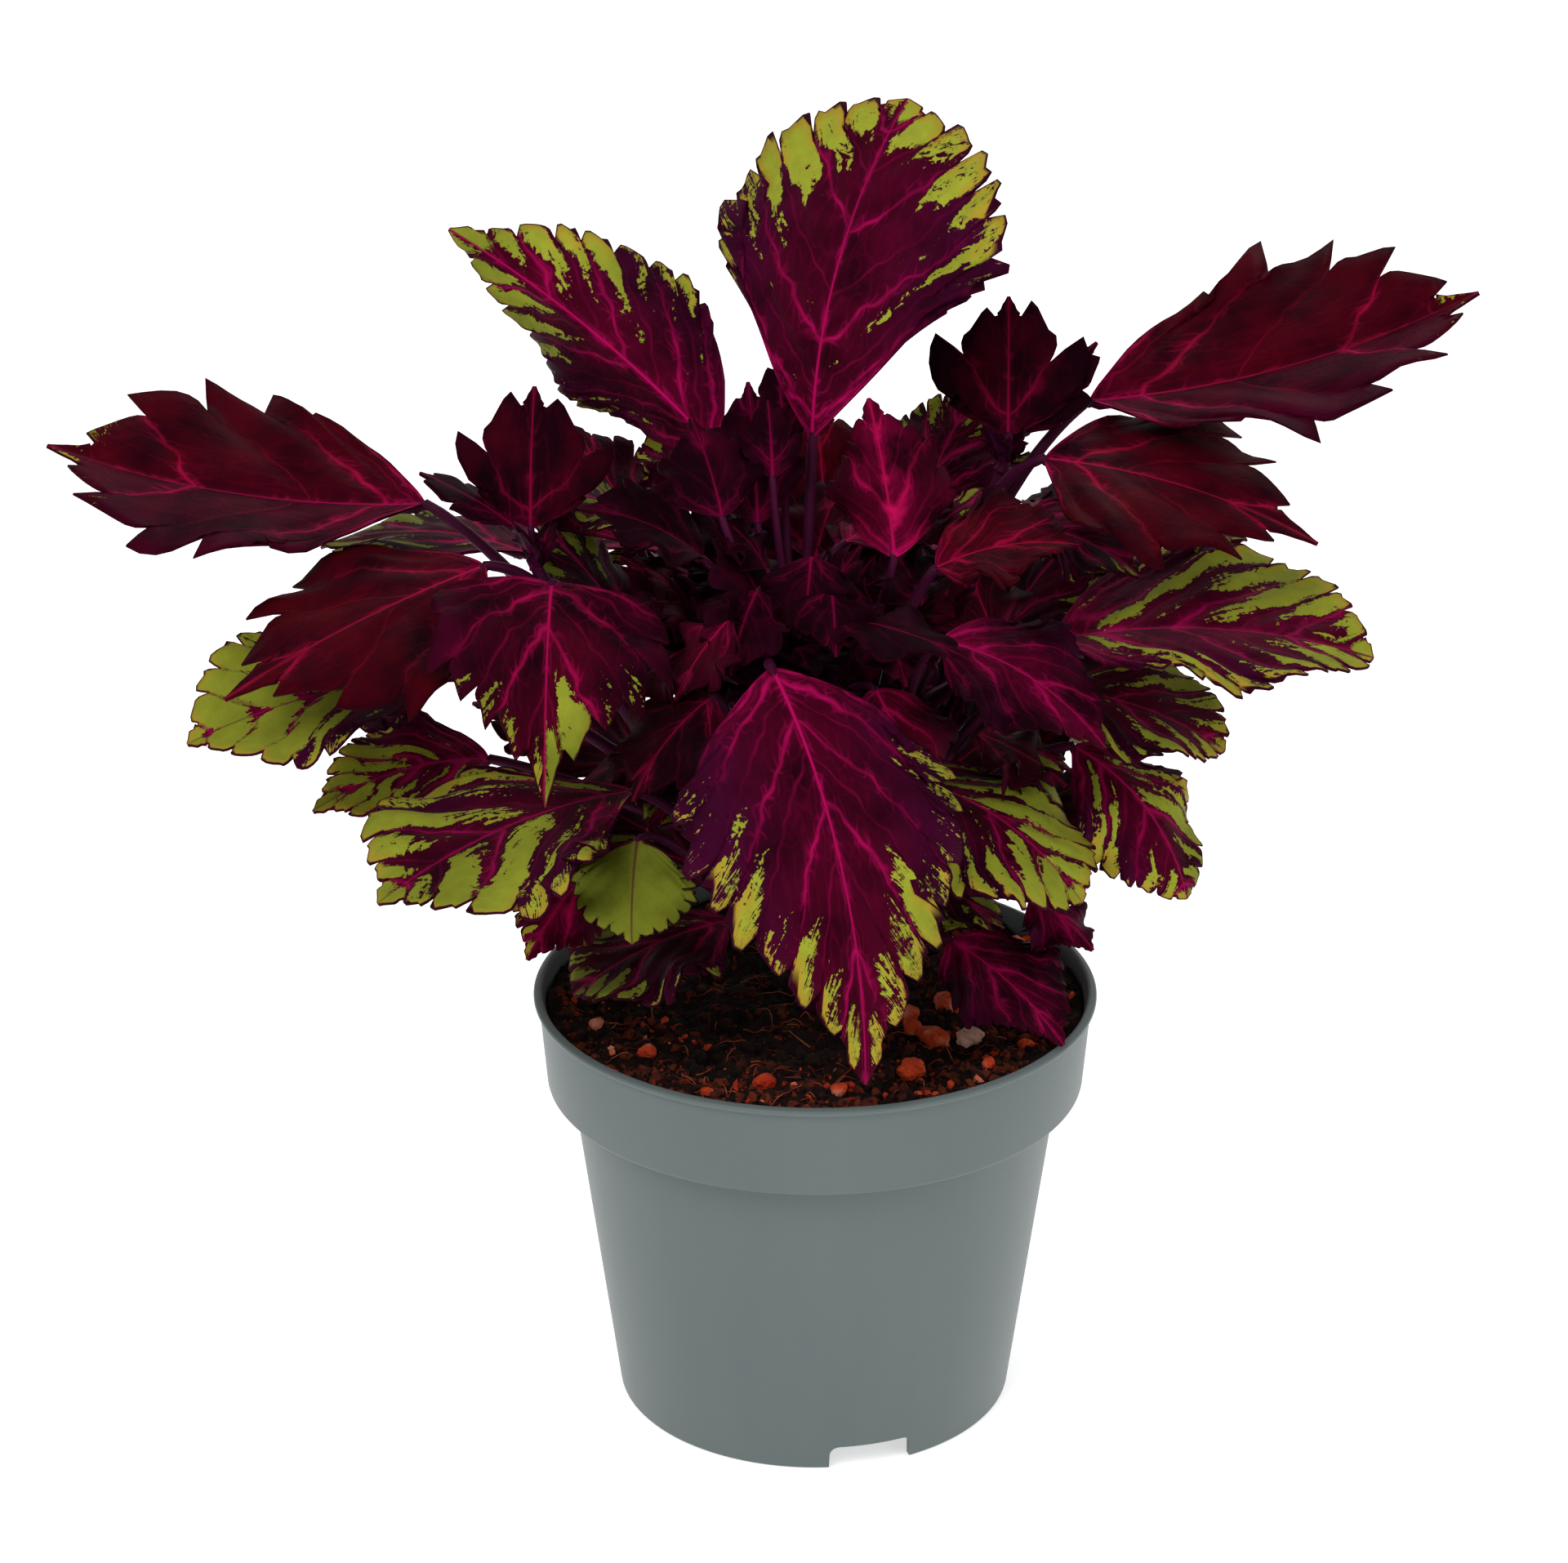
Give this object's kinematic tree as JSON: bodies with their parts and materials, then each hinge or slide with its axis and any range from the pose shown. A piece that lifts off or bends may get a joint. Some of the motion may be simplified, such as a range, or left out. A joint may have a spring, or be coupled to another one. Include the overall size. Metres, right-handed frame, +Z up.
{
  "type": "potted coleus",
  "caption": "Bushy coleus with large toothed leaves on branched square stems, rooted in peat in a round moulded plastic nursery pot with a collar band.",
  "frame": {"origin": "on the pot's axis, at the level of the surface it stands on", "axes": "+Z up, +X to the right of the pot's front, -Y towards the front"},
  "size_m": [0.2866, 0.1865, 0.2755],
  "materials": {
    "pot": "grey-green moulded polypropylene, satin",
    "peat": "moist dark peat with bark chips",
    "stem": "square violet stem, satin",
    "leaf": "burgundy blade with magenta veins and lime margin patches",
    "young_leaf": "near-black purple young blade"
  },
  "bodies": {
    "root": {"pot": "pot", "soil": "peat", "stems": "stem", "leaf_back_1": "leaf", "leaf_back_10": "leaf", "leaf_back_2": "leaf", "leaf_back_3": "leaf", "leaf_back_4": "leaf", "leaf_back_5": "leaf", "leaf_back_6": "leaf", "leaf_back_7": "leaf", "leaf_back_8": "leaf", "leaf_back_9": "leaf", "leaf_behind_left": "leaf", "leaf_behind_right": "leaf", "leaf_bright": "leaf", "leaf_bright_left": "leaf", "leaf_centre_front": "leaf", "leaf_centre_right": "leaf", "leaf_far_left": "leaf", "leaf_far_right": "leaf", "leaf_front": "leaf", "leaf_front_right": "leaf", "leaf_hanging": "leaf", "leaf_inner_1": "leaf", "leaf_inner_2": "leaf", "leaf_inner_3": "leaf", "leaf_inner_4": "leaf", "leaf_inner_5": "leaf", "leaf_inner_6": "leaf", "leaf_inner_right": "leaf", "leaf_left": "leaf", "leaf_left_front": "leaf", "leaf_low_left": "leaf", "leaf_low_left_outer": "leaf", "leaf_low_left_pale": "leaf", "leaf_low_right": "leaf", "leaf_low_right_outer": "leaf", "leaf_pot_edge_left": "leaf", "leaf_pot_edge_right": "leaf", "leaf_right": "leaf", "leaf_right_striped": "leaf", "leaf_soil_left": "leaf", "leaf_soil_right": "leaf", "leaf_top": "leaf", "leaf_upper_left": "leaf", "shoot_tip_back_left": "young_leaf", "shoot_tip_back_right": "young_leaf", "shoot_tip_centre": "young_leaf", "shoot_tip_front_left": "young_leaf", "shoot_tip_front_right": "young_leaf", "shoot_tip_left": "young_leaf", "shoot_tip_right": "young_leaf", "leaf_centre_low": "leaf", "leaf_inner_7": "leaf", "leaf_inner_8": "leaf", "leaf_inner_9": "leaf", "leaf_inner_10": "leaf"}
  },
  "joints": []
}
